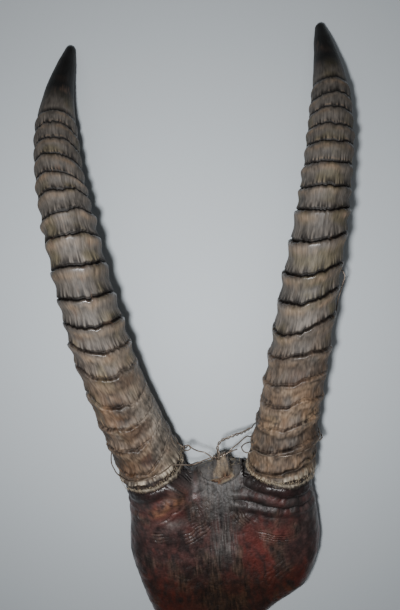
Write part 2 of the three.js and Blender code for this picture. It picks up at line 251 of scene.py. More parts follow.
def make_object(name, points, faces, material, attributes=()):
    mesh = bpy.data.meshes.new(name)
    mesh.from_pydata((np.asarray(points) * MM).tolist(), [], [tuple(f) for f in faces])
    for key, kind, values in attributes:
        layer = mesh.attributes.new(key, kind, "POINT")
        field = {"FLOAT": "value", "FLOAT_VECTOR": "vector", "FLOAT_COLOR": "color"}[kind]
        layer.data.foreach_set(field, np.asarray(values, np.float32).ravel())
    mesh.polygons.foreach_set("use_smooth", [True] * len(mesh.polygons))
    mesh.materials.append(material)
    mesh.update()
    piece = add_object(name, mesh)
    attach(piece, "root")
    return piece


def grid_faces(rows, sides):
    """Four-sided faces between the rows of a closed tube, counted row by row."""
    row = np.arange(rows - 1)[:, None] * sides
    side = np.arange(sides)[None, :]
    after = (side + 1) % sides
    return np.stack([row + side, row + after, row + sides + after, row + sides + side], -1).reshape(-1, 4)


def tube_faces(rows, sides):
    """The faces of a tube whose two ends are closed round two points that follow the rows."""
    faces = [tuple(face) for face in grid_faces(rows, sides)]
    last = rows * sides
    for k in range(sides):
        after = (k + 1) % sides
        faces.append((last, after, k))
        faces.append((last + 1, last - sides + k, last - sides + after))
    return faces


def with_alpha(colours):
    return np.concatenate([colours, np.ones((*colours.shape[:-1], 1))], -1)


# Horns

def ring_profile(u, upper):
    """Height within one ring's pitch: u is 0 at the dark line over the ring and 1 at the next one.

    The lower rings are fullest just under their line, and the upper ones are rounder lobes.
    """
    fullest = 0.1 + 0.22 * upper
    crest = np.where(u < fullest, hump(u, fullest, 0.055 + 0.2 * upper), hump(u, fullest, 0.33))
    flare = (0.6 - 0.4 * upper) * ramp(0.55, 1, u)
    groove = 0.45 * hump(u, 0, 0.04)
    return 1.05 * crest + flare - groove


class Horn:
    def __init__(self, outward, middle, rings, lean, bald, bends, stains):
        self.outward = outward
        self.path = Path(spline(middle, 80, uniform=True))
        self.length = self.path.length
        self.rings = np.array(rings, float)
        self.lean = lean
        self.bald = bald
        self.bends = np.array([(0, *row, 0) for row in bends], float)
        self.stains = stains

    def taper(self, s):
        return look_up(TAPER, self.length - s)

    def bend(self, number, a):
        """How far the line of a ring, counted from 1 at the tip, lies above its even place at angle a."""
        degrees = (np.degrees(a) + 90) % 360 - 90
        place = np.interp(degrees, BEND_ANGLES, np.arange(len(BEND_ANGLES)))
        low = np.clip(np.floor(place).astype(int), 0, len(BEND_ANGLES) - 2)
        row = np.clip(number, 1, len(self.rings)) - 1
        t = ramp(0, 1, place - low)
        return self.bends[row, low] * (1 - t) + self.bends[row, low + 1] * t

    def ring_height(self, s):
        thin = 1 - 0.55 * ramp(270, 400, s)
        worn = 1 - 0.35 * ramp(150, 60, s)
        return RING_HEIGHT * thin * worn

    def frame(self, s):
        """Middle of the horn at distance s from its base, and the directions to its side and front."""
        centre, along = self.path.at(s), self.path.direction(s)
        side = np.array([1.0, 0, 0]) - along * along[..., :1]
        side = side / norm(side, axis=-1, keepdims=True)
        return centre, along, side, np.cross(side, along)

    def surface(self, q, a, radius):
        """Points at ring station q and angle a from +X, as far out as radius."""
        hold = ramp(0, 16, q) * ramp(self.rings[0] + 40, self.rings[0], q)
        rise = self.outward * np.cos(a) * look_up(self.lean, q, 1)
        tipping = (np.sin(a) - 0.7) * look_up(self.lean, q, 2)
        centre, _, side, front = self.frame(q + hold * self.taper(q) * (rise + tipping))
        across = (radius * np.cos(a))[..., None]
        up = (radius * HORN_DEPTH * np.sin(a))[..., None]
        return centre + side * across + front * up

    def wire_radius(self, q):
        """Radius of the plain horn where the wires go round it, near its base."""
        lines = np.concatenate([self.rings, [-1]])
        i = int(np.argmax(lines <= q))
        u = (lines[i - 1] - q) / (lines[i - 1] - lines[i])
        crest = hump(u, 0.22, 0.17) + 0.5 * ramp(0.5, 0.95, u)
        groove = 0.3 * hump(u, 0, 0.06) + 0.3 * hump(u, 1, 0.06)
        return self.taper(q) + self.ring_height(q) * (crest - groove)


def wire_climb(name, degrees):
    """How much farther up its horn the left wire lies on the front and outer side than behind."""
    turn = np.mod(degrees, 360)
    climb = 8.5 * ramp(25, 95, turn) + 9 * ramp(160, 195, turn)
    return climb * ramp(290, 215, turn) * (name == "left")


def horn_rows(horn):
    """The mesh rows from tip to base as (ring number, phase). Ring 0 is the smooth tip."""
    rows = [(0, k / TIP_ROWS) for k in range(TIP_ROWS)]
    for ring in range(1, len(horn.rings)):
        rows += [(ring, phase) for phase in RING_PHASES]
    rows += [(len(horn.rings), 1 - part) for part in RIM_ROWS]
    return rows


def horn_grid(horn, seed):
    """A horn's mesh points in rows from tip to base: where they lie, and the noises over them."""
    rings = horn.rings
    count = len(rings)
    rows = horn_rows(horn)
    ring = np.array([r for r, _ in rows])[:, None]
    u = np.array([p for _, p in rows])[:, None]
    a = np.linspace(0, 2 * np.pi, HORN_SIDES, endpoint=False)[None, :]
    ring, u, a = np.broadcast_arrays(ring, u, a)
    ringed = (ring > 0) & (ring < count)

    def around(size, along):
        return np.stack([np.cos(a) * size, np.sin(a) * size, along], -1)

    # The lines wander: slowly round the horn, and raggedly from flute to flute.
    def line(number):
        nominal = rings[np.clip(number, 1, count) - 1]
        worn = ramp(190, 90, nominal)
        slow = noise(around(1.6, number * 7.3), seed)
        bend = noise(around(3.6, number * 3.9), seed + 8)
        ragged = noise(around(13, number * 5.1), seed + 1)
        wander = (0.5 + worn) * slow + (0.6 + 1.2 * worn) * bend
        return np.maximum(nominal + horn.bend(number, a) + ramp(5, 25, nominal) * wander + ragged, 3)

    upper, lower = line(ring), line(ring + 1)
    tip_length = horn.length - line(np.ones_like(ring))
    q = np.where(ringed, upper + (lower - upper) * u, 0)
    q = np.where(ring == 0, horn.length - tip_length * u ** 1.6, q)
    q = np.where(ring == count, upper * (1 - u), q)

    base = horn.taper(q)
    worn = ramp(190, 80, q)
    lean_wave = noise(around(1.5, q / 30), seed + 17)
    grain = around(base, q * 0.12)
    flare = ramp(0.4, 1, u) + 0.3 * ramp(0.15, 0.5, u)
    return SimpleNamespace(
        ring=ring, u=u, a=a, q=q, ringed=ringed, around=around, seed=seed, base=base, worn=worn, grain=grain,
        at_rim=ring == count - 1,
        gap=np.where(ring == count, 1.0, 0.0),
        upper_rings=ramp(270, 340, q),
        fluted=np.where(ringed, flare, 0.12) * (1 - 0.55 * worn),
        bald=horn.bald * worn * ramp(0.2, 0.7, -horn.outward * np.cos(a)),
        flutes=noise(grain / 1.25, seed + 2),
        fine=noise(grain * 0.9 + 40, seed + 3),
        mottle=cloud(around(base, q * 0.8) / 3.2, seed + 12),
        growth=worn * noise(around(base / 9, q / 1.4 + 1.5 * lean_wave), seed + 16),
        lumps=cloud(around(base / 14, q / 14), seed + 4),
        furrow=worn * ramp(0.35, 0.75, noise(around(base / 16, q / 3.2), seed + 9)),
    )


def horn_radius(name, grid):
    """How far each point of a horn's grid lies from the horn's middle."""
    horn = HORN[name]
    ring, u, q, worn, lumps = grid.ring, grid.u, grid.q, grid.worn, grid.lumps
    height = horn.ring_height(q) * (1 - 0.85 * grid.bald)
    uneven = 1 + 0.35 * noise(grid.around(1.3, ring * 3.7), grid.seed + 5)
    profile = grid.ringed * ring_profile(u, grid.upper_rings)
    tip_zone = np.where(ring == 0, 0.25 * ramp(horn.rings[0] + 30, horn.rings[0], q), 0)
    rim = grid.at_rim * RIM_HEIGHT * ramp(0.4, 0.95, u)
    radius = grid.base + height * (profile * uneven + tip_zone) + rim - 0.8 * grid.gap + 0.4 * grid.growth
    radius = radius + (0.3 * grid.fluted + 0.02) * grid.flutes + 0.5 * lumps * ramp(0, 40, horn.length - q)
    radius = radius - 0.9 * grid.furrow * ramp(12, 20, q) - 0.5 * worn * (0.5 + 0.5 * grid.fine)
    radius = radius + worn * (0.6 * grid.mottle + 0.9 * lumps)
    for station in WIRED_AT[name]:
        wired = station + wire_climb(name, np.degrees(grid.a[0]))
        under_wire = np.array([horn.wire_radius(w) for w in wired]) + WIRE_LIFT - WIRE_RADIUS - 0.1
        radius = np.minimum(radius, under_wire + 3 * (1 - hump(q, wired, 2.4)))
    round_off = np.clip((q - (horn.length - TIP_RADIUS)) / TIP_RADIUS, 0, 1)
    return radius * np.sqrt(1 - round_off ** 2)


def horn_colours(horn, grid):
    """Grey-brown flutes, tan under each crest, brown glossy crests, near-black lines and tip, with painted
    shade in the grooves, furrows and base gap and on the crests' sides, and painted light on the flute
    ridges.
    """
    ring, u, q, ringed, base, seed = grid.ring, grid.u, grid.q, grid.ringed, grid.base, grid.seed
    flutes, fine, mottle, fluted, gap = grid.flutes, grid.fine, grid.mottle, grid.fluted, grid.gap
    worn, bald, around = grid.worn, grid.bald, grid.around
    grey, tan, brown, olive = rgb(98, 92, 86), rgb(122, 105, 88), rgb(46, 36, 30), rgb(92, 84, 62)
    dark, tip_black, worn_tan, cream = rgb(18, 14, 12), rgb(14, 13, 12), rgb(116, 94, 74), rgb(170, 159, 141)
    patches = cloud(around(base / 9, q / 9), seed + 6)
    blotches = cloud(around(base / 22, q / 18), seed + 11)
    speckle = noise(around(base, q) / 1.5, seed + 14)
    ring_tone = noise(np.stack([ring * 3.3 + 0.5, u * 0, u * 0], -1), seed + 15)
    shaded_sides = ramp(0.55, 0.95, np.abs(np.cos(grid.a)))
    paint = Paint(grey)
    paint(olive, ramp(0, 0.4, blotches) * 0.7)
    paint(worn_tan, worn * (0.6 + 0.8 * patches))
    paint(tan, ringed * hump(u, 0.3, 0.13) * (0.5 + 1.2 * patches))
    # Darker in the flute grooves and lighter on the flute ridges: the striations' own colour together with
    # painted shade and painted light on the relief.
    paint.scale(0.4, (0.12 + 0.5 * fluted) * ramp(0.05, -0.6, flutes + 0.5 * fine))
    paint.scale(1.5, (0.1 + 0.3 * fluted) * ramp(0.25, 0.9, flutes + 0.6 * fine))
    paint.scale(0.4, (0.6 + 0.3 * worn) * ramp(0.05, 0.5, mottle))
    paint(brown, 0.75 * worn * ramp(0, 0.5, -blotches + 0.3 * fine))
    # The crests are brown, and browner towards the horn's sides as painted shade.
    crest = ringed * ramp(0.24, 0.1, u) * (0.7 + 0.5 * fine) * (0.6 + 0.4 * shaded_sides)
    paint(brown, crest * (1 - 0.65 * worn))
    # The dark fringe and the near-black line over each ring are partly dark grime and partly painted shade
    # in the groove.
    fringe = ringed * ramp(0.68, 0.96, u) * ramp(0.15, -0.2, flutes)
    shade = ringed * np.maximum(ramp(0.1, 0.05, u), ramp(0.93, 0.975, u))
    broken = (1 - 0.8 * worn * ramp(-0.2, 0.4, patches)) * (1 - bald)
    broken = broken * (1 - 0.7 * worn * ramp(-0.3, 0.2, flutes + 0.3 * fine))
    line_colour = mix(dark, brown * 0.8, worn)
    paint(rgb(112, 105, 96), 0.55 * bald)
    paint.scale(0.84, ringed * hump(u, 0.55, 0.22))
    paint(line_colour, np.maximum(fringe * (0.9 - 0.3 * worn), shade * broken))
    # Painted shade in the furrows.
    paint(dark, 0.7 * grid.furrow * (1 - 0.5 * bald))
    lip = ringed * hump(u, 0.9, 0.03) * ramp(-0.1, 0.5, flutes) * grid.upper_rings
    paint(tan * 1.1, 0.6 * lip)
    paint.scale(0.72, ramp(250, 380, q))
    band = ramp(0, 0.5, noise(around(1, q / 6), seed + 13))
    banded = 0.7 * band * ramp(60, 20, q - horn.rings[0])
    paint(mix(tip_black, brown, banded), (ring == 0) * ramp(0, 0.25, 1 - u))
    frayed = grid.at_rim * ramp(0.55, 0.8, u)
    paint(cream, frayed * ramp(-0.35, 0.3, flutes) * (0.75 + 0.6 * patches))
    # Painted shade in the grooves of the gap under the base rim.
    paint(rgb(44, 37, 32), gap * ramp(-0.9, -0.3, flutes))
    paint(cream * 0.8, gap * hump(q + 1.5 * mottle, 4.5, 1))
    for place, angle, length, width, stain, strength in horn.stains:
        turn = (np.degrees(grid.a) - angle + 180) % 360 - 180
        mask = np.exp(-((q - place) / length) ** 2 - (turn / width) ** 2)
        paint(rgb(*stain), strength * ramp(0.15, 0.8, mask + 0.5 * patches + 0.2 * fine))
    tone = 0.9 + 0.16 * fine + 0.24 * patches + 0.2 * speckle + 0.14 * ring_tone + 0.25 * grid.growth
    tone = tone + worn * (0.05 + 0.3 * speckle + 0.25 * mottle)
    gloss = ringed * hump(u, 0.11, 0.07) * (1 - 0.5 * worn) * (0.9 + 0.4 * patches)
    gloss = np.where(ring == 0, 0.2, gloss)
    return paint.colour * tone[..., None], gloss


def horn_mesh(name, seed):
    horn = HORN[name]
    grid = horn_grid(horn, seed)
    points = horn.surface(grid.q, grid.a, horn_radius(name, grid))

    # The horn rests on the floor, and its relief stays inside the CAD box.
    points[..., 2] -= points[..., 2].min()
    flat = np.clip(points, *(np.array(CAD_BOX) / MM)).reshape(-1, 3)
    ends = np.array([flat[:HORN_SIDES].mean(0), horn.frame(np.array(0.0))[0]])
    faces = [face[::-1] for face in tube_faces(len(points), HORN_SIDES)]
    colour, gloss = horn_colours(horn, grid)

    def per_point(values):
        rows_of_values = values.reshape(len(flat), -1)
        return np.concatenate([rows_of_values, rows_of_values[[0, -1]]])

    return make_object(f"ringed_horn_{name}", np.vstack([flat, ends]), faces, horn_material(), [
        ("tint", "FLOAT_COLOR", with_alpha(per_point(np.clip(colour, 0, 1)))),
        ("gloss", "FLOAT", per_point(np.clip(gloss, 0, 1))),
        ("grain", "FLOAT_VECTOR", per_point(grid.grain)),
    ])


# Skull and skin: a form that is negative inside, met by rays from one inner point

BONE_CORE = np.array([0.0, 5, 20])
FARTHEST_BONE = 170
PLATE_SIDES = [(-124, 74, 12), (-112, 79, 31), (-101, 82, 43), (-91, 84.5, 56), (-83, 87, 70),
               (-74, 89, 83), (-54, 93.5, 92), (-36, 97, 98), (-18, 99, 100), (8, 97, 99), (30, 95, 95),
               (48, 88, 82), (70, 58, 50)]
PLATE_CROWN = [(-124, 34), (-60, 46), (0, 53), (60, 52)]
PLATE_BOTTOM, PLATE_TOP = -124, 56
PEDICEL_RADIUS, PEDICEL_LENGTH, PEDICEL_NARROWING, PEDICEL_START = 31.5, 62, 3, 12
CREST_X, CREST_Y, CREST_SIZE, CREST_LEAN = 2, 17, (30, 43, 50), 0.42
KNOB, KNOB_RADIUS = np.array([5, 76, 44]), 9
HORN_ROOM = 39
HOLLOW_SIZE = (25, 23, 19)
HOLLOW_MIDDLE = (2, 32, -1)
SLIT, NOTCH_X = [(-7, 57), (11, 65)], 13
NUB_X, NUB_TOP = 4, 85

# The V of bare bone: its lowest point, the slope of its sides, and what makes a distance from them.
BARE_X, BARE_Y, BARE_SLOPE, BARE_SCALE = 2, 45, 0.72, 0.81


def blend(a, b, reach):
    h = np.maximum(reach - np.abs(a - b), 0) / reach
    return np.minimum(a, b) - h * h * reach * 0.25


def plate_form(p):
    x, y, z = p[..., 0], p[..., 1], p[..., 2]
    width = np.where(x < 0, look_up(PLATE_SIDES, y, 1), look_up(PLATE_SIDES, y, 2))
    across = np.abs(x) / width
    down = np.abs(y - (PLATE_TOP + PLATE_BOTTOM) / 2) / ((PLATE_TOP - PLATE_BOTTOM) / 2)
    up = np.abs(z) / look_up(PLATE_CROWN, y)
    return ((across ** 5 + down ** 10 + up ** 4) ** 0.25 - 1) * 40


def pedicel_form(p, horn):
    centre, along, _, _ = horn.frame(np.array(0.0))
    inward = np.array([-0.22 * horn.outward, -0.93, -0.3])
    inward /= norm(inward)
    offset = p - centre - along * PEDICEL_START
    t = np.clip(offset @ inward, 0, PEDICEL_LENGTH)
    distance = norm(offset - t[..., None] * inward, axis=-1)
    return distance - PEDICEL_RADIUS + PEDICEL_NARROWING * t / PEDICEL_LENGTH


def crest_form(p):
    across = np.abs(p[..., 0] - CREST_X) / CREST_SIZE[0]
    down = np.abs(p[..., 1] - CREST_Y - CREST_LEAN * p[..., 2]) / CREST_SIZE[1]
    up = np.abs(p[..., 2]) / CREST_SIZE[2]
    crest = ((across ** 4 + down ** 5 + up ** 4) ** 0.25 - 1) * CREST_SIZE[0]
    return blend(crest, norm(p - KNOB, axis=-1) - KNOB_RADIUS, 5)


def seat_depth(p, horn):
    """Distance below a horn's base plane, and distance from its axis."""
    centre, along, _, _ = horn.frame(np.array(0.0))
    offset = p - centre
    out = offset @ along
    return -out, norm(offset - out[..., None] * along, axis=-1)


def skull_form(p, horns, lift):
    form = blend(plate_form(p), crest_form(p), 10)
    for horn in horns:
        form = blend(form, pedicel_form(p, horn), 14)
    form = form - lift
    for horn in horns:
        below, aside = seat_depth(p, horn)
        form = np.maximum(form, -np.maximum(aside - HORN_ROOM, below - SEAM))
    return form


def ray_reach(direction, form):
    inside = np.full(direction.shape[:-1], 1.0)
    outside = np.full(direction.shape[:-1], float(FARTHEST_BONE))
    for _ in range(20):
        reach = (inside + outside) / 2
        within = form(BONE_CORE + direction * reach[..., None]) < 0
        inside = np.where(within, reach, inside)
        outside = np.where(within, outside, reach)
    return (inside + outside) / 2


def ray_direction(turn, down):
    return np.stack([np.sin(down) * np.cos(turn), np.sin(down) * np.sin(turn), np.cos(down)], -1)


def ray_grid(form, foot):
    """Rows of points from the top of the form, out and down to the height called foot."""
    turn = np.linspace(0, 2 * np.pi, SKULL_SIDES, endpoint=False)
    near, far = np.full(SKULL_SIDES, 0.9), np.full(SKULL_SIDES, 2.4)
    for _ in range(18):
        down = (near + far) / 2
        direction = ray_direction(turn, down)
        height = BONE_CORE[2] + direction[:, 2] * ray_reach(direction, form)
        near = np.where(height > foot, down, near)
        far = np.where(height > foot, far, down)
    share = np.linspace(0.004, 1, SKULL_ROWS)[:, None]
    direction = ray_direction(np.broadcast_to(turn, (SKULL_ROWS, SKULL_SIDES)), share * (near + far) / 2)
    return BONE_CORE + direction * ray_reach(direction, form)[..., None]


def grid_normals(points):
    """Outward directions of a ray grid, from its neighbours."""
    down = np.gradient(points, axis=0)
    turn = (np.roll(points, -1, axis=1) - np.roll(points, 1, axis=1)) / 2
    normal = np.cross(down, turn)
    return normal / np.maximum(norm(normal, axis=-1, keepdims=True), 1e-9)


# Folds of the dried skin as (line in XY, how often it repeats, the step to the next, depth).
CREASES = [
    ([(26, 13), (36, 5), (48, 0), (62, -3), (76, -1)], 4, (1, -3.2), 0.5),
    ([(8, 30), (14, 20), (24, 10)], 4, (3.4, 0.5), 0.5),
    ([(-48, 6), (-36, 9), (-24, 16), (-14, 27)], 4, (1.5, -3.6), 0.5),
    ([(-79, 11), (-70, 9), (-60, 11)], 3, (1, -3.6), 0.7),
    ([(-90, 38), (-88, 29), (-84, 22)], 1, (0, 0), 1.6),
    ([(68, -30), (56, -36), (42, -46), (30, -62)], 4, (3.5, -3.2), 0.7),
    ([(-62, -36), (-50, -44), (-36, -47)], 2, (3, -5), 0.4),
    ([(-28, -48), (-12, -60), (2, -58)], 2, (4, -7), 0.4),
    ([(-30, 46), (-46, 37), (-60, 27), (-76, 21)], 1, (0, 0), 1.6),
    ([(-36, 60), (-50, 51), (-64, 42), (-80, 37)], 1, (0, 0), 1.4),
]
ROLL = [(-32, 57), (-46, 49), (-62, 39), (-80, 33)]
ROLL_WIDTH, ROLL_HEIGHT = 5.5, 2.6

# From one fold to the next where the skin meets the horns.
FOLD_PITCH = 12.5

# How far the skin dips under the bare bone at its edge.
SKIN_DIVE = 3.6

# Towards the nose the skin is darker, and beyond NOSE_END_Y it is squashed to stay inside the CAD box.
NOSE_END_TINT = np.array([0.5, 0.38, 0.28])
NOSE_END_Y, NOSE_END_SQUASH = -60, 0.035


def crease(x, y, line):
    """Distance from points to a line of several parts, and a share that fades out at its ends."""
    lengths = [math.dist(*ends) for ends in zip(line, line[1:])]
    nearest = np.full(x.shape, 1e3)
    fade = np.zeros(x.shape)
    before = 0
    for (start, end), length in zip(zip(line, line[1:]), lengths):
        away = segment_distance(x, y, start, end)
        along = ((x - start[0]) * (end[0] - start[0]) + (y - start[1]) * (end[1] - start[1])) / length
        share = (before + np.clip(along, 0, length)) / sum(lengths)
        fade = np.where(away < nearest, ramp(0, 0.35, share) * ramp(1, 0.65, share), fade)
        nearest = np.minimum(nearest, away)
        before += length
    return nearest, fade


def bare_bone(p):
    """Distance into the V of bare bone between the horns, in millimetres."""
    return (p[..., 1] - BARE_Y - BARE_SLOPE * np.abs(p[..., 0] - BARE_X)) * BARE_SCALE


def skin_marks(points, horns):
    """Heights of the skin's folds, and the shares that its colours take from them."""
    lumps = cloud(points / 26, 30)
    fine = cloud(points / 5, 33)
    x = points[..., 0] + 2 * noise(points / 9, 50)
    y = points[..., 1] + 2 * noise(points / 9, 51)
    folds, fold_shade, collar, pale_rim_and_ridge_light, dull = 0, 0, 0, 0, 0
    for horn, strength in zip(horns, (0.4, 1.0)):
        below, aside = seat_depth(points, horn)
        near = ramp(58, 44, aside) * ramp(-1, 5, below) * ramp(44, 26, below)
        dull = dull + near
        near = near * ramp(-0.5, 0.1, lumps + 0.3) * strength
        wave = np.cos((below - 19 + 5 * lumps + 1.5 * fine) / FOLD_PITCH * 2 * np.pi)
        folds = folds + near * (1.5 * wave + 0.5 * noise(points / 3.5, 36))
        fold_shade = fold_shade + 1.2 * near * ramp(-0.2, -0.85, wave)
        close = ramp(46, 40, aside)
        collar = collar + close * ramp(13, 8, below + 2.5 * fine)
        pale_rim_and_ridge_light = pale_rim_and_ridge_light + 0.5 * close * hump(below + 2 * fine, 9, 0.9) * ramp(-0.4, 0.4, lumps)
    for line, times, (step_x, step_y), depth in CREASES:
        for k in range(times):
            away, fade = crease(x - k * step_x, y - k * step_y, line)
            fade = fade * (1 - 0.25 * (k % 2))
            folds = folds + depth * fade * (0.5 * hump(away, 1.7, 0.8) - hump(away, 0, 0.8))
            fold_shade = fold_shade + 0.6 * fade * hump(away, 0, 0.8)
            # A painted highlight on the ridge beside each crease.
            pale_rim_and_ridge_light = pale_rim_and_ridge_light + 0.22 * fade * hump(away, 1.7, 0.6)
    away, fade = crease(x, y, ROLL)
    roll = hump(away, 0, ROLL_WIDTH) * fade
    return SimpleNamespace(height=1.3 * lumps - 0.7 + 0.6 * fine + folds + ROLL_HEIGHT * roll, fine=fine,
                           fold_shade=fold_shade, collar=collar, pale_rim_and_ridge_light=pale_rim_and_ridge_light, dull=dull, roll=roll)


def skin_colours(points, edge, marks):
    """Red-brown skin with black folds and a tan roll, grey by the midline and the bare bone. The folds' dark
    valleys are painted shade; the pale lines on the crease ridges, the midline sheen and two pale patches
    are painted highlights.
    """
    fine, roll, collar = marks.fine, marks.roll, marks.collar
    red, maroon, black, tan = rgb(86, 40, 36), rgb(66, 45, 43), rgb(28, 23, 23), rgb(116, 82, 62)
    grey, cream, green = rgb(72, 69, 67), rgb(120, 108, 92), rgb(66, 62, 53)
    x, y = points[..., 0], points[..., 1]
    patches = cloud(points / 30, 41)
    small = cloud(points / [4, 9, 9], 44)
    haze = cloud(points / [14, 26, 26], 52)
    streaks = noise(points / [1.3, 22, 22], 46)
    hairs = noise(points / [0.8, 14, 14], 49)
    paint = Paint(maroon)
    redder = ramp(-10, 40, x) * ramp(30, -20, y) + hump(x, 50, 30) * hump(y, 35, 16)
    redder = np.clip(redder + 0.6 * hump(x, -75, 30), 0, 1)
    paint(red, (0.35 + 0.5 * redder) * ramp(-0.25, 0.35, patches + 0.3 * small))
    paint(green, 0.55 * ramp(-0.05, 0.45, haze))
    paint(black, 0.8 * ramp(0.3, -0.8, small + patches))
    upper_zone = ramp(-5, 30, y)
    paint(grey * 0.8, 0.4 * upper_zone * ramp(-0.2, 0.5, cloud(points / 12, 53)))
    # A painted highlight just inside the skin's right edge.
    paint(grey, 0.5 * hump(x, 95, 14) * hump(y, 10, 24) * ramp(-0.4, 0.3, small))
    paint(tan, roll * ramp(-0.5, 0.2, small + 0.5 * fine))
    # A painted highlight below the tan roll under the left horn.
    paint(grey * 1.5, 0.8 * hump(x, -52, 16) * hump(y, 21, 6) * ramp(-0.6, 0.3, small))
    midline = hump(x, -1 + 0.05 * (y - 20), 11) * ramp(-40, -12, y)
    paint(grey * 0.75, midline * (0.55 + 0.7 * streaks))
    paint(grey * 1.7, midline * ramp(0.2, 0.9, hairs) * 0.7 * ramp(45, 25, y))
    sheen = hump(x, 0, 12) * hump(y, -5, 13)
    paint(grey * 1.9, 0.8 * sheen * (0.55 + 0.8 * hairs))
    paint(black, 0.9 * hump(x, -2, 1.8) * ramp(34, 28, y) * ramp(8, 14, y))
    paint(grey * 0.7, 0.9 * ramp(-20, -5, edge) * (0.75 + 0.5 * streaks))
    # Painted shade in the valleys of the folds and creases.
    paint(black, np.clip(0.7 * marks.fold_shade, 0, 0.85))
    # A real pale rim by the horns, and painted highlights on the crease ridges.
    paint(cream, 0.5 * marks.pale_rim_and_ridge_light * ramp(-0.6, 0.2, small))
    paint(black, 0.85 * collar)
    scratches = noise(points / [0.9, 10, 10], 54) * ramp(-0.1, 0.4, haze)
    tone = 1.08 + 0.45 * fine + 0.3 * small + 0.9 * scratches
    paint.scale(0.5, hump(y, 30, 18) * ramp(-52, -38, x) * ramp(90, 70, x))
    paint.scale(NOSE_END_TINT, ramp(-12, -66, y))
    gloss = 0.55 + 0.7 * small - 0.4 * midline - 0.5 * ramp(-20, -5, edge)
    gloss = gloss + 0.5 * collar - 0.45 * marks.dull + hump(np.hypot(x - 17, y + 27), 0, 6)
    return paint.colour * tone[..., None], np.clip(gloss, 0, 1)


def skin_mesh(horns):
    points = ray_grid(lambda p: skull_form(p, horns, SKIN + SEAM), SKIN_FOOT)
    marks = skin_marks(points, horns)
    edge = bare_bone(points) + 6 * cloud(points / 8, 38)
    dive = ramp(-6, 6, edge)
    shift = marks.height * (1 - dive) * ramp(0, 8, points[..., 2] - SKIN_FOOT) - SKIN_DIVE * dive
    points = points + grid_normals(points) * shift[..., None]
    points[..., 1] += NOSE_END_SQUASH * np.maximum(NOSE_END_Y - points[..., 1], 0)
    colour, gloss = skin_colours(points, edge, marks)

    # Faces deep under the bare bone or under a horn are left out.
    keep = dive < 0.999
    for horn in horns:
        below, aside = seat_depth(points, horn)
        keep = keep & ~((below < SEAM + 0.8) & (aside < 30))
    faces = grid_faces(*points.shape[:2])
    faces = faces[keep.ravel()[faces].any(axis=1)]
    used, faces = np.unique(faces, return_inverse=True)
    piece = make_object("dried_forehead_skin", points.reshape(-1, 3)[used], faces.reshape(-1, 4),
                        skin_material(), [
        ("tint", "FLOAT_COLOR", with_alpha(np.clip(colour, 0, 1)).reshape(-1, 4)[used]),
        ("gloss", "FLOAT", gloss.ravel()[used]),
    ])
    thickness = piece.modifiers.new("thickness", "SOLIDIFY")
    thickness.thickness = SKIN * 0.8 * MM
    thickness.offset = -1
    return piece


def nub_share(x, y):
    """1 on the nub of torn tissue, which is wider towards the forehead, and 0 off it."""
    half_width = 5 + 0.4 * np.clip(NUB_TOP - y, 0, 25)
    return ramp(1.2, 0.6, np.abs(x - NUB_X) / half_width) * ramp(60, 66, y)


def hollow_ring(turn, height):
    """One ring of the brain hollow's wall, at a share of its depth."""
    shrink = math.sqrt(1 - height ** 2)
    return np.stack([HOLLOW_MIDDLE[0] + HOLLOW_SIZE[0] * shrink * np.cos(turn),
                     HOLLOW_MIDDLE[1] + HOLLOW_SIZE[1] * shrink * np.sin(turn),
                     np.full_like(turn, HOLLOW_MIDDLE[2] + HOLLOW_SIZE[2] * height)], -1)


def slit_distance(p):
    """Distance in the XY plane from the slit across the foot of the nub."""
    return segment_distance(p[..., 0], p[..., 1] + 2 * noise(p / 5, 62), *SLIT)


def bone_front(horns):
    """Rows of points over the bone's front and sides, with relief where it is bare."""
    points = ray_grid(lambda p: skull_form(p, horns, 0), 0)
    x, y = points[..., 0], points[..., 1]
    slit = slit_distance(points)
    notch = hump(x, NOTCH_X, 1.8) * ramp(66, 74, y)
    tags = np.abs(cloud(points / [1.6, 6, 6], 63)) * nub_share(x, y)
    shift = 0.8 * cloud(points / 9, 60) + 0.4 * cloud(points / 4, 61)
    shift = shift - 3 * hump(slit, 0, 1.6) + 0.9 * hump(slit, 3.4, 1.4)
    shift = shift + 3.5 * tags - 2.5 * notch + 1.7 * ramp(-5, 5, bare_bone(points))
    shift = shift * ramp(-6, 0, bare_bone(points)) * ramp(0, 6, points[..., 2])
    points = points + grid_normals(points) * shift[..., None]
    points[-1, :, 2] = 0
    return points


def bone_back(rim):
    """Rows of points from the sawn back's rim in to the brain hollow, and up its wall."""
    turn = np.arctan2(rim[:, 1] - HOLLOW_MIDDLE[1], rim[:, 0] - HOLLOW_MIDDLE[0])
    mouth = hollow_ring(turn, -HOLLOW_MIDDLE[2] / HOLLOW_SIZE[2])
    rows = [rim + (mouth - rim) * k / BACK_ROWS for k in range(1, BACK_ROWS + 1)]
    return rows + [hollow_ring(turn, height) for height in np.linspace(0.1, 0.99, HOLLOW_ROWS)]


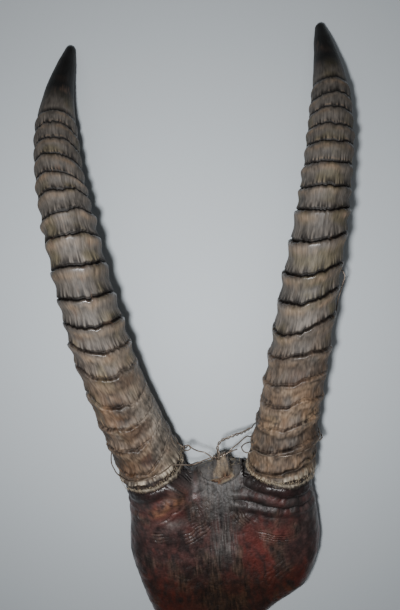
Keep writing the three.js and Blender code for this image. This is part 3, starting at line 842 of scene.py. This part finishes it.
def bone_colours(flat):
    """Grey bare bone with a torn, tan nub and an orange slit, and paler bone where it was sawn."""
    x, y, z = flat.T
    grey, pale, brown, orange = rgb(74, 71, 69), rgb(146, 134, 117), rgb(50, 42, 37), rgb(104, 68, 38)
    slit = slit_distance(flat)
    front = ramp(20, 35, z)
    streaks = noise(flat / [1.3, 8, 8], 67)
    small = cloud(flat / 4, 69)
    paint = Paint(mix(grey, grey * 1.5, 0.2 + 0.7 * cloud(flat / 12, 64)))
    paint(pale, 1 - front)
    paint(brown, 0.8 * ramp(0.1, 0.6, cloud(flat / 7, 66)))
    paint(grey * 0.7, ramp(66, 56, y) * front)
    nub = nub_share(x, y) * front
    paint(rgb(116, 102, 85), ramp(0.2, 1.1, nub + 0.4 * small + 0.6 * streaks) * nub)
    beside_nub = ramp(6, 16, np.abs(x - 2)) * front
    paint(grey, 0.35 * beside_nub * ramp(0, 0.5, cloud(flat / 9, 70)))
    paint(rgb(116, 102, 82), ramp(0.4, 1, hump(slit, 3.2, 1.6) + 0.5 * small) * front)
    paint(orange, 0.9 * hump(slit + 0.8 * small, 0, 1.6) * front)
    # Painted shade down the middle of the slit and in the notch.
    paint(brown * 0.5, 0.8 * hump(slit + 0.5 * small, 0, 0.6) * front)
    paint(brown * 0.6, hump(x, NOTCH_X, 1.6) * ramp(64, 72, y) * front)
    paint(grey * 0.45, 0.8 * hump(np.hypot(x - 20, y - 78), 0, 4) * front)
    return paint.colour * (1 + 0.3 * cloud(flat / 2.5, 68) + 0.25 * streaks)[..., None]


def bone_mesh(horns):
    front = bone_front(horns)
    grid = np.concatenate([front, bone_back(front[-1])])
    flat = np.vstack([grid.reshape(-1, 3), grid[0].mean(0), grid[-1].mean(0)])
    faces = tube_faces(len(grid), SKULL_SIDES)
    return make_object("bare_skull_bone", flat, faces, bone_material(), [
        ("tint", "FLOAT_COLOR", with_alpha(np.clip(bone_colours(flat), 0, 1))),
    ])


# Frayed fibres at the horns' base rims and round the torn tissue between the horns

RIM_FIBRES, TISSUE_FIBRES = (260, 340), 360
FIBRE_RADIUS = 0.2


def rim_fibres(horn, count, random):
    """Start and end points of fibres that hang over a horn's base rim."""
    a = random.uniform(0, 2 * np.pi, count)
    q = random.uniform(8, 13, count)
    radius = horn.taper(q) + RIM_HEIGHT + random.uniform(-0.2, 0.9, count)
    centre, along, _, _ = horn.frame(np.zeros(count))
    start = horn.surface(q, a, radius)
    aside = np.cross(along, start - centre)
    aside = aside / norm(aside, axis=1, keepdims=True)
    length = random.uniform(1.5, 4.5, count)[:, None]
    return start, start - length * along + aside * random.uniform(-2, 2, count)[:, None]


def tissue_fibres(horns, count, random):
    """Start and end points of fibres round the nub, rooted just inside the bone."""
    x, y = random.normal(3, 10, count), random.normal(67, 7, count)
    start = np.stack([x, y, np.full(count, 80.0)], -1)
    for _ in range(60):
        outside = skull_form(start, horns, 0) > -0.4
        start[:, 2] -= np.where(outside, 0.8, 0)
    turn = random.normal(1.4, 0.8, count)
    length = random.uniform(2, 7, count)
    lie = np.stack([length * np.cos(turn), length * np.sin(turn), random.uniform(-1, 2.5, count)], -1)
    return start, start + lie


def fibre_points(start, end, sag):
    """Rings of points along one fibre, which is thinner towards its end."""
    along = (end - start) / norm(end - start)
    side = np.cross(along, [0.3, 0.2, 0.93])
    side /= norm(side)
    up = np.cross(side, along)
    points = []
    for t in np.linspace(0, 1, FIBRE_ROWS):
        centre = start + (end - start) * t + (side * sag[0] + up * sag[1]) * math.sin(math.pi * t)
        thick = FIBRE_RADIUS * (1 - 0.75 * t)
        for angle in np.linspace(0, 2 * math.pi, FIBRE_SIDES, endpoint=False):
            points.append(centre + thick * (side * math.cos(angle) + up * math.sin(angle)))
    return points


def fibre_mesh(horns):
    random = np.random.default_rng(7)
    fibres = [rim_fibres(horn, count, random) for horn, count in zip(horns, RIM_FIBRES)]
    fibres.append(tissue_fibres(horns, TISSUE_FIBRES, random))
    starts, ends = (np.vstack(part) for part in zip(*fibres))
    sides = grid_faces(FIBRE_ROWS, FIBRE_SIDES)
    root, tip = sides[:FIBRE_SIDES, 0][::-1], sides[-FIBRE_SIDES:, 3]
    points, faces = [], []
    for start, end in zip(starts, ends):
        first = len(points)
        points += fibre_points(start, end, random.normal(0, 0.5, 2))
        faces += [[first + k for k in face] for face in (*sides, root, tip)]
    return make_object("frayed_fibres", points, faces, fibre_material())


# Wires

CROSSING = [(-26, 84, 62), (-17, 86, 60), (-8, 88, 58), (2, 88, 57), (13, 92, 56), (21, 93.5, 54)]
COIL_RADIUS = 2 * WIRE_RADIUS + 1.2
TWISTS = 5
TWIST_RADIUS = WIRE_RADIUS + 0.25


def turn_round(name, station, start, end, count, bow=lambda degrees: 0):
    """Points round a horn from one angle to another in degrees, lifted off it by bow."""
    horn = HORN[name]
    degrees = np.linspace(start, end, count + 1)
    q = station + wire_climb(name, degrees)
    radius = np.array([horn.wire_radius(place) for place in q]) + WIRE_LIFT + bow(degrees)
    return horn.surface(q, np.radians(degrees), radius).tolist()


def beside(path, share, radius, angle):
    """A point next to a path, at an angle round it."""
    along = path.direction(share * path.length)
    side = np.array([0, 0, 1.0]) - along * along[2]
    side /= norm(side)
    across = np.cross(along, side)
    return path.at(share * path.length) + radius * (side * math.sin(angle) + across * math.cos(angle))


def coil_on_crossing(start, end, turns, start_angle):
    crossing = Path(spline(CROSSING))
    count = round(turns * 8)
    return [beside(crossing, start + (end - start) * i / count, COIL_RADIUS,
                   start_angle + 2 * math.pi * turns * i / count).tolist() for i in range(count + 1)]


def left_tie():
    pigtail = [(-13, 94, 57), (-19, 96, 57), (-25, 100, 58.5), (-29, 104, 59), (-33, 103, 58.5),
               (-34, 99.5, 57), (-31, 97, 55), (-27.5, 98, 53.5), (-29, 101, 51.5), (-33, 97, 47)]
    station = WIRED_AT["left"][0]
    return (coil_on_crossing(0.52, 0.42, 1.25, 0.5) + pigtail
            + turn_round("left", station, -8, -318, 40, lambda degrees: 3 * hump(degrees, -186, 16))
            + spline(CROSSING, 2).tolist())


def right_tie():
    hook = [(33, 92, 63), (27.5, 92.5, 60), (25.5, 95.5, 56), (29, 97, 50), (34, 96.5, 45)]
    upper, lower = WIRED_AT["right"]
    return (coil_on_crossing(0.66, 0.74, 1.5, 2) + [(16, 95, 54), (24, 98.5, 48), (32, 102, 42)]
            + turn_round("right", upper, 200, 515, 22) + hook
            + turn_round("right", lower, 560, 738, 14, lambda degrees: 5 * hump(degrees, 722, 16)))


def hanger():
    core = Path(spline([(2, 91.5, 60.5), (0.5, 97, 61.5), (2, 103, 61), (6, 106.5, 60), (13, 108, 58),
                        (20, 109, 54.5), (28, 109, 49), (37, 110, 40)]))
    shares = np.linspace(0, 1, 25)

    def strand(half):
        return [beside(core, t, TWIST_RADIUS, math.pi / 2 - half - 2 * math.pi * TWISTS * t).tolist()
                for t in shares]

    hook = [(0.6, 87.2, 59.6), (1.2, 85.4, 57.5), (2.2, 86.2, 54.9), (3.4, 88.6, 54.4), (3.9, 90.6, 56.6)]
    tail = [(42.5, 110, 27), (51, 110, 17), (63, 112, 10.5), (84, 120, 9), (108, 150, 16), (122, 190, 30),
            (131, 214, 40), (133, 226, 46), (135, 238, 48), (137.5, 246, 49), (141, 256, 50),
            (143, 263, 50), (139, 272, 47), (131, 281, 38)]
    return strand(math.pi)[::-1] + hook + strand(0) + tail


def wire_piece(name, route):
    curve = bpy.data.curves.new(name, "CURVE")
    curve.dimensions = "3D"
    curve.bevel_depth = WIRE_RADIUS * MM
    curve.bevel_resolution = 4
    curve.use_fill_caps = True
    line = spline(route, 8) * MM
    path = curve.splines.new("POLY")
    path.points.add(len(line) - 1)
    for knot, place in zip(path.points, line):
        knot.co = (*place, 1)
    curve.materials.append(wire_material())
    piece = add_object(name, curve)
    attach(piece, "root")
    return piece


# Materials

class Look:
    """A node material, built up call by call."""

    def __init__(self, name):
        self.material = bpy.data.materials.new(name)
        self.material.use_nodes = True
        self.nodes = self.material.node_tree.nodes
        self.shader = self.nodes["Principled BSDF"]

    def set(self, socket, value):
        if isinstance(value, bpy.types.NodeSocket):
            self.material.node_tree.links.new(value, socket)
        else:
            socket.default_value = value

    def attribute(self, name, output):
        made = self.nodes.new("ShaderNodeAttribute")
        made.attribute_name = name
        return made.outputs[output]

    def place(self):
        return self.nodes.new("ShaderNodeTexCoord").outputs["Object"]

    def noise(self, vector, scale, detail):
        made = self.nodes.new("ShaderNodeTexNoise")
        self.set(made.inputs["Vector"], vector)
        self.set(made.inputs["Scale"], scale)
        self.set(made.inputs["Detail"], detail)
        return made.outputs["Fac"]

    def remap(self, value, low, high, new_low, new_high):
        made = self.nodes.new("ShaderNodeMapRange")
        for socket, number in zip(made.inputs, (value, low, high, new_low, new_high)):
            self.set(socket, number)
        return made.outputs[0]

    def math(self, operation, first, second):
        made = self.nodes.new("ShaderNodeMath")
        made.operation = operation
        self.set(made.inputs[0], first)
        self.set(made.inputs[1], second)
        return made.outputs[0]

    def colour(self, colour, factor):
        made = self.nodes.new("ShaderNodeVectorMath")
        made.operation = "SCALE"
        self.set(made.inputs[0], colour)
        self.set(made.inputs["Scale"], factor)
        self.set(self.shader.inputs["Base Color"], made.outputs[0])

    def bump(self, height, depth_mm):
        made = self.nodes.new("ShaderNodeBump")
        made.inputs["Strength"].default_value = 1
        made.inputs["Distance"].default_value = depth_mm * MM
        self.set(made.inputs["Height"], height)
        self.set(self.shader.inputs["Normal"], made.outputs[0])


@cache
def horn_material():
    look = Look("ringed keratin")
    grain = look.attribute("grain", "Vector")
    streaks = look.noise(grain, 1.1, 4)
    specks = look.noise(grain, 2.6, 2)
    look.colour(look.attribute("tint", "Color"), look.remap(streaks, 0.3, 0.7, 0.78, 1.22))
    gloss = look.attribute("gloss", "Fac")
    look.set(look.shader.inputs["Specular IOR Level"], 0.32)
    rough = look.remap(gloss, 0, 1, 0.6, 0.16)
    uneven = look.remap(specks, 0.3, 0.7, -0.04, 0.06)
    look.set(look.shader.inputs["Roughness"], look.math("ADD", rough, uneven))
    height = look.math("ADD", streaks, look.math("MULTIPLY", specks, 0.5))
    look.bump(look.math("MULTIPLY", height, look.remap(gloss, 0, 1, 1, 0.3)), 0.3)
    return look.material


@cache
def skin_material():
    look = Look("dried skin")
    grain = look.noise(look.place(), 420, 4)
    pores = look.noise(look.place(), 1500, 2)
    look.colour(look.attribute("tint", "Color"), look.remap(grain, 0.3, 0.7, 0.75, 1.25))
    look.set(look.shader.inputs["Specular IOR Level"], 0.45)
    rough = look.remap(look.attribute("gloss", "Fac"), 0, 1, 0.55, 0.24)
    uneven = look.remap(pores, 0.3, 0.7, -0.05, 0.05)
    look.set(look.shader.inputs["Roughness"], look.math("ADD", rough, uneven))
    look.bump(look.math("ADD", grain, look.math("MULTIPLY", pores, 0.3)), 0.5)
    return look.material


@cache
def bone_material():
    look = Look("dry bone")
    grain = look.noise(look.place(), 600, 4)
    pores = look.noise(look.place(), 1800, 2)
    look.colour(look.attribute("tint", "Color"), look.remap(grain, 0.3, 0.7, 0.65, 1.3))
    look.set(look.shader.inputs["Roughness"], look.remap(pores, 0.3, 0.7, 0.66, 0.9))
    look.bump(look.math("ADD", grain, pores), 0.35)
    return look.material


def two_tone(look, share, first, second):
    mixed = look.nodes.new("ShaderNodeMix")
    mixed.data_type = "RGBA"
    look.set(mixed.inputs[0], share)
    look.set(mixed.inputs[6], (*first, 1))
    look.set(mixed.inputs[7], (*second, 1))
    look.set(look.shader.inputs["Base Color"], mixed.outputs[2])


@cache
def wire_material():
    look = Look("iron wire")
    rust = look.noise(look.place(), 160, 3)
    two_tone(look, look.remap(rust, 0.42, 0.6, 0, 1), rgb(112, 101, 90), rgb(78, 64, 53))
    look.set(look.shader.inputs["Metallic"], 0.3)
    look.set(look.shader.inputs["Roughness"], look.remap(rust, 0.35, 0.7, 0.24, 0.42))
    return look.material


@cache
def fibre_material():
    look = Look("pale fibre")
    two_tone(look, look.noise(look.place(), 300, 2), rgb(178, 162, 136), rgb(112, 98, 80))
    look.set(look.shader.inputs["Roughness"], 0.7)
    return look.material


# Pieces

HORN = {name: Horn(**values) for name, values in HORNS.items()}
BOTH = [HORN["left"], HORN["right"]]


def put(piece, node):
    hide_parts(node)


put(horn_mesh("left", 1), "horn_left")
put(horn_mesh("right", 101), "horn_right")
put(bone_mesh(BOTH), "skull_plate")
put(skin_mesh(BOTH), "forehead_skin")
put(wire_piece("left_tie_wire", left_tie()), "tie_wire_left")
put(wire_piece("right_tie_wire", right_tie()), "tie_wire_right")
put(wire_piece("twisted_hanging_wire", hanger()), "hanging_wire")
fibre_mesh(BOTH)

# Floor, light and camera

FLOOR_SIZE, FLOOR_HEIGHT, FLOOR_TINT = 30, -0.0004, (0.48, 0.52, 0.55, 1)
KEY_PLACE, KEY_TARGET = (-0.062, 0.26, 0.64), (0.0, 0.22, 0)
KEY_SIZE, KEY_POWER, KEY_SPREAD = 0.06, 2.6, 120
FILL_POWER, FILL_SOFTNESS, FILL_TILT = 0.35, 60, -12
ROOM_TINT, ROOM_STRENGTH = (0.92, 0.96, 1, 1), 0.07
PHOTO_SIZE = (400, 610)
FOCAL_PIXELS = 598
SENSOR = 36
CAMERA_PLACE = Vector((2.0, 319.5, 650.1)) * MM
VIEW = Vector((-0.0106, -0.1214, -0.9925)).normalized()
IMAGE_UP = Vector((0.0865, 0.9888, -0.1219))


def pale_floor():
    bpy.ops.mesh.primitive_plane_add(size=FLOOR_SIZE, location=(0, 0, FLOOR_HEIGHT))
    floor = bpy.context.object
    floor.name = "floor"
    look = Look("pale floor")
    look.shader.inputs["Base Color"].default_value = FLOOR_TINT
    look.shader.inputs["Roughness"].default_value = 0.9
    floor.data.materials.append(look.material)
    return floor


def lights():
    key = bpy.data.lights.new("key", "AREA")
    key.shape = "DISK"
    key.size = KEY_SIZE
    key.energy = KEY_POWER
    key.spread = math.radians(KEY_SPREAD)
    lamp = add_object("key", key)
    lamp.location = KEY_PLACE
    lamp.rotation_euler = (Vector(KEY_TARGET) - Vector(KEY_PLACE)).to_track_quat("-Z", "Y").to_euler()
    fill = bpy.data.lights.new("fill", "SUN")
    fill.energy = FILL_POWER
    fill.angle = math.radians(FILL_SOFTNESS)
    add_object("fill", fill).rotation_euler = (0, math.radians(FILL_TILT), 0)


def soft_room():
    world = bpy.data.worlds.new("soft room")
    world.use_nodes = True
    background = world.node_tree.nodes["Background"]
    background.inputs["Color"].default_value = ROOM_TINT
    background.inputs["Strength"].default_value = ROOM_STRENGTH
    bpy.context.scene.world = world


def photo_camera():
    right = VIEW.cross(IMAGE_UP).normalized()
    up = right.cross(VIEW)
    data = bpy.data.cameras.new("camera")
    data.sensor_fit = "AUTO"
    data.sensor_width = SENSOR
    data.lens = FOCAL_PIXELS / max(PHOTO_SIZE) * SENSOR
    data.clip_start = 0.01
    camera = add_object("camera", data)
    turned = Matrix((right, up, -VIEW)).transposed().to_4x4()
    camera.matrix_world = Matrix.Translation(CAMERA_PLACE) @ turned
    bpy.context.scene.camera = camera


pale_floor()
lights()
soft_room()
photo_camera()
